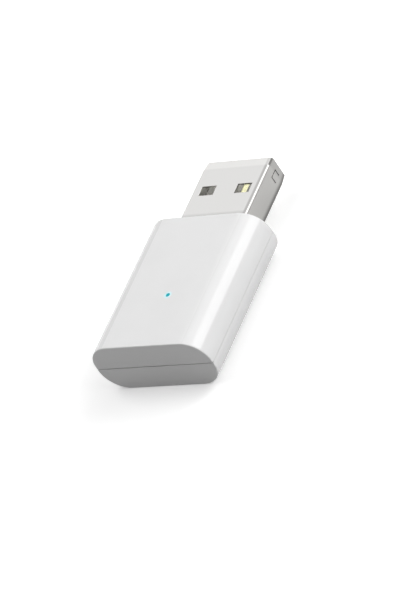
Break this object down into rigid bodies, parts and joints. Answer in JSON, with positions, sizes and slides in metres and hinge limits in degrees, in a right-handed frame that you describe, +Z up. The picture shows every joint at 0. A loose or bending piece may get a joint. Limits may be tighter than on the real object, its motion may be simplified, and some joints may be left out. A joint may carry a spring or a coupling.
{
  "type": "signal repeater",
  "caption": "Flat white stick that plugs into a powered socket and repeats a radio signal: rounded two-part housing, folded steel plug, small light on its face.",
  "frame": {"origin": "middle of the length and width of the whole stick, plug included, on the plane that it lies on", "axes": "+Y along the stick towards the plug's open end, +X across it, +Z up through the face with the light"},
  "size_m": [0.0204, 0.0382, 0.0087],
  "materials": {
    "housing": "white moulded plastic with a soft gloss",
    "light_pipe": "clear acrylic lit cyan from below",
    "plug_steel": "bright nickel over folded steel",
    "insulator": "pale grey moulded plastic",
    "contact_gilt": "gold flash over copper alloy",
    "board": "green solder mask over glass-epoxy",
    "shield_tin": "tinned steel",
    "chip_resin": "black moulding resin",
    "ferrite": "dark grey ferrite",
    "ceramic": "brown ceramic between tinned ends",
    "lamp": "white carrier with a clear lens",
    "antenna_ceramic": "pale ceramic between tinned ends"
  },
  "bodies": {
    "root": {"upper_shell": "housing", "lower_shell": "housing", "light_pipe": "light_pipe", "plug_shell": "plug_steel", "plug_insulator": "insulator", "contact_vbus": "contact_gilt", "contact_data_minus": "contact_gilt", "contact_data_plus": "contact_gilt", "contact_ground": "contact_gilt", "main_board": "board", "radio_shield_can": "shield_tin", "radio_chip": "chip_resin", "crystal": "shield_tin", "memory_chip": "chip_resin", "voltage_regulator": "chip_resin", "surge_diodes": "chip_resin", "power_inductor": "ferrite", "input_capacitor": "ceramic", "output_capacitor": "ceramic", "matching_capacitor_left": "ceramic", "matching_capacitor_right": "ceramic", "led_resistor": "ceramic", "status_led": "lamp", "antenna_left": "antenna_ceramic", "antenna_right": "antenna_ceramic"}
  },
  "joints": []
}
